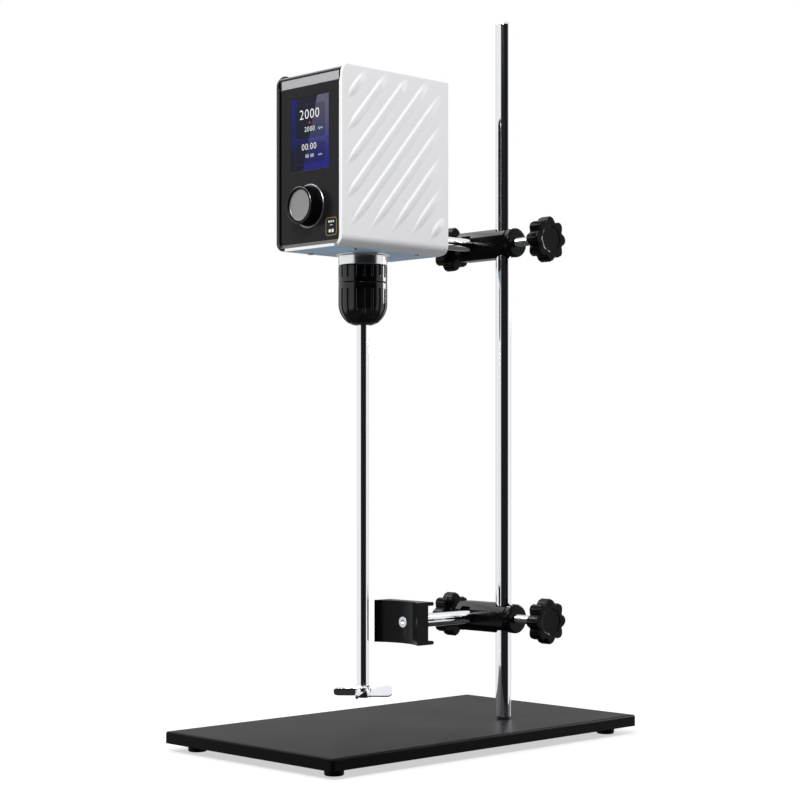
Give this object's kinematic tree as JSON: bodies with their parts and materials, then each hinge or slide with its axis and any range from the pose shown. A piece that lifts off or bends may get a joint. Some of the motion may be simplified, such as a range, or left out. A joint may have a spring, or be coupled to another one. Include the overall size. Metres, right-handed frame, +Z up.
{
  "type": "overhead stirrer",
  "caption": "Overhead stirrer: a display head with a keyless chuck and propeller shaft, clamped to a rod on a flat base plate, with a vessel saddle on a second clamp.",
  "frame": {"origin": "centre of the base plate's footprint, on the surface that the feet stand on", "axes": "+Z up, -Y towards the user (the display side), +X to the user's right"},
  "size_m": [0.214, 0.374, 0.643],
  "materials": {
    "plate_paint": "satin black powder coat, slightly reflective",
    "foot_rubber": "matte black rubber",
    "rod_chrome": "polished",
    "zinc_steel": "zinc plated",
    "clamp_paint": "black coated casting, semi-gloss",
    "grip_plastic": "black moulded plastic, fine grain",
    "shell_white": "white satin moulding",
    "frame_black": "black satin moulding",
    "bezel_grey": "light grey satin moulding",
    "panel_black": "black gloss membrane panel",
    "display_glass": "dark blue display behind gloss glass",
    "board_green": "solder mask",
    "cast_aluminium": "as cast",
    "bearing_steel": "ground steel",
    "motor_steel": "zinc plated sheet",
    "stator_iron": "laminated iron",
    "cover_plastic": "pale grey moulding",
    "rear_plastic": "dark grey moulding",
    "knob_black": "black satin",
    "cap_grey": "grey satin cap with a bright edge",
    "ring_chrome": "bright ring",
    "collar_chrome": "polished collar",
    "chuck_sleeve": "bright nickel sleeve with grip grooves",
    "chuck_steel": "hardened steel",
    "shaft_steel": "polished stainless steel",
    "inlet_black": "black nylon",
    "pin_brass": "nickelled brass",
    "rocker_black": "black gloss"
  },
  "bodies": {
    "stand": {"base_plate": "plate_paint", "base_foot_front_left": "foot_rubber", "base_foot_front_right": "foot_rubber", "base_foot_rear_left": "foot_rubber", "base_foot_rear_right": "foot_rubber", "foot_screws": "zinc_steel", "stand_rod": "rod_chrome", "rod_washer": "zinc_steel", "rod_bolt": "zinc_steel"},
    "upper_clamp": {"upper_boss": "clamp_paint"},
    "upper_stand_thumb": {"upper_stand_screw": "zinc_steel", "upper_stand_knob": "grip_plastic"},
    "upper_support_thumb": {"upper_support_screw": "zinc_steel", "upper_support_knob": "grip_plastic"},
    "lower_clamp": {"lower_boss": "clamp_paint"},
    "lower_stand_thumb": {"lower_stand_screw": "zinc_steel", "lower_stand_knob": "grip_plastic"},
    "lower_support_thumb": {"lower_support_screw": "zinc_steel", "lower_support_knob": "grip_plastic"},
    "head": {"support_rod": "rod_chrome", "left_shell": "shell_white", "right_shell": "shell_white", "core_frame": "frame_black", "front_bezel": "bezel_grey", "front_panel": "panel_black", "display_module": "display_glass", "control_board": "board_green", "encoder_body": "zinc_steel", "knob_ring": "ring_chrome", "bottom_cover": "cover_plastic", "bottom_screws": "zinc_steel", "rear_cover": "rear_plastic", "rear_screws": "zinc_steel", "power_inlet": "inlet_black", "inlet_pins": "pin_brass", "chassis": "cast_aluminium", "lower_bearing": "bearing_steel", "upper_bearing": "bearing_steel", "motor_can": "motor_steel", "stator": "stator_iron", "nose_collar": "collar_chrome"},
    "saddle": {"saddle_rod": "rod_chrome", "vessel_saddle": "clamp_paint", "saddle_screw": "zinc_steel"},
    "knob_push": {"encoder_plunger": "zinc_steel"},
    "knob": {"encoder_shaft": "zinc_steel", "speed_knob": "knob_black", "knob_cap": "cap_grey"},
    "drive": {"spindle": "chuck_steel", "rotor": "stator_iron", "chuck_body": "chuck_steel", "chuck_rear_sleeve": "chuck_sleeve"},
    "chuck_ring": {"chuck_front_sleeve": "chuck_sleeve"},
    "jaw_one": {"jaw_1": "chuck_steel"},
    "jaw_two": {"jaw_2": "chuck_steel"},
    "jaw_three": {"jaw_3": "chuck_steel"},
    "stirrer": {"stirring_shaft": "shaft_steel", "propeller": "shaft_steel"},
    "rocker": {"power_rocker": "rocker_black"}
  },
  "joints": [
    {"name": "upper_clamp_height", "type": "slide", "parent": "stand", "child": "upper_clamp", "axis": [0, 0, 1], "range_m": [-0.018, 0.18]},
    {"name": "head_reach", "type": "slide", "parent": "upper_clamp", "child": "head", "axis": [0, 1, 0], "range_m": [-0.018, 0.008]},
    {"name": "lower_clamp_height", "type": "slide", "parent": "stand", "child": "lower_clamp", "axis": [0, 0, 1], "range_m": [-0.06, 0.19]},
    {"name": "saddle_reach", "type": "slide", "parent": "lower_clamp", "child": "saddle", "axis": [0, 1, 0], "range_m": [-0.008, 0.04]},
    {"name": "upper_stand_thumb_turn", "type": "hinge", "parent": "upper_clamp", "child": "upper_stand_thumb", "pos_m": [0.0845, 0.081, 0.4436], "axis": [1, 0, 0], "range_deg": [0, 720]},
    {"name": "upper_support_thumb_turn", "type": "hinge", "parent": "upper_clamp", "child": "upper_support_thumb", "pos_m": [-0.019, 0.081, 0.4436], "axis": [-1, 0, 0], "range_deg": [0, 720]},
    {"name": "lower_stand_thumb_turn", "type": "hinge", "parent": "lower_clamp", "child": "lower_stand_thumb", "pos_m": [0.0845, 0.081, 0.1075], "axis": [1, 0, 0], "range_deg": [0, 720]},
    {"name": "lower_support_thumb_turn", "type": "hinge", "parent": "lower_clamp", "child": "lower_support_thumb", "pos_m": [-0.019, 0.081, 0.1075], "axis": [-1, 0, 0], "range_deg": [0, 720]},
    {"name": "knob_press", "type": "slide", "parent": "head", "child": "knob_push", "axis": [0, 1, 0], "range_m": [0, 0.001], "stiffness_N_per_m": 2000, "springref_m": -0.0005},
    {"name": "knob_turn", "type": "hinge", "parent": "knob_push", "child": "knob", "pos_m": [0.009, -0.13, 0.4616], "axis": [0, -1, 0], "continuous": true},
    {"name": "spindle_spin", "type": "hinge", "parent": "head", "child": "drive", "pos_m": [0.009, -0.063, 0.42], "axis": [0, 0, 1], "continuous": true},
    {"name": "chuck_ring_turn", "type": "hinge", "parent": "drive", "child": "chuck_ring", "pos_m": [0.009, -0.063, 0.383], "axis": [0, 0, 1], "range_deg": [0, 1080]},
    {"name": "jaw_one_slide", "type": "slide", "parent": "drive", "child": "jaw_one", "axis": [0, 0.2588, 0.9659], "range_m": [0, 0.0058]},
    {"name": "jaw_two_slide", "type": "slide", "parent": "drive", "child": "jaw_two", "axis": [-0.2241, -0.1294, 0.9659], "range_m": [0, 0.0058]},
    {"name": "jaw_three_slide", "type": "slide", "parent": "drive", "child": "jaw_three", "axis": [0.2241, -0.1294, 0.9659], "range_m": [0, 0.0058]},
    {"name": "shaft_slide", "type": "slide", "parent": "drive", "child": "stirrer", "axis": [0, 0, 1], "range_m": [-0.008, 0.025]},
    {"name": "power_rocker_tilt", "type": "hinge", "parent": "head", "child": "rocker", "pos_m": [0.009, -0.0015, 0.507], "axis": [1, 0, 0], "range_deg": [0, 16]}
  ],
  "couplings": [
    {"joint": "jaw_one_slide", "follows": "chuck_ring_turn", "m_per_rad": 0.000307},
    {"joint": "jaw_two_slide", "follows": "chuck_ring_turn", "m_per_rad": 0.000307},
    {"joint": "jaw_three_slide", "follows": "chuck_ring_turn", "m_per_rad": 0.000307}
  ]
}
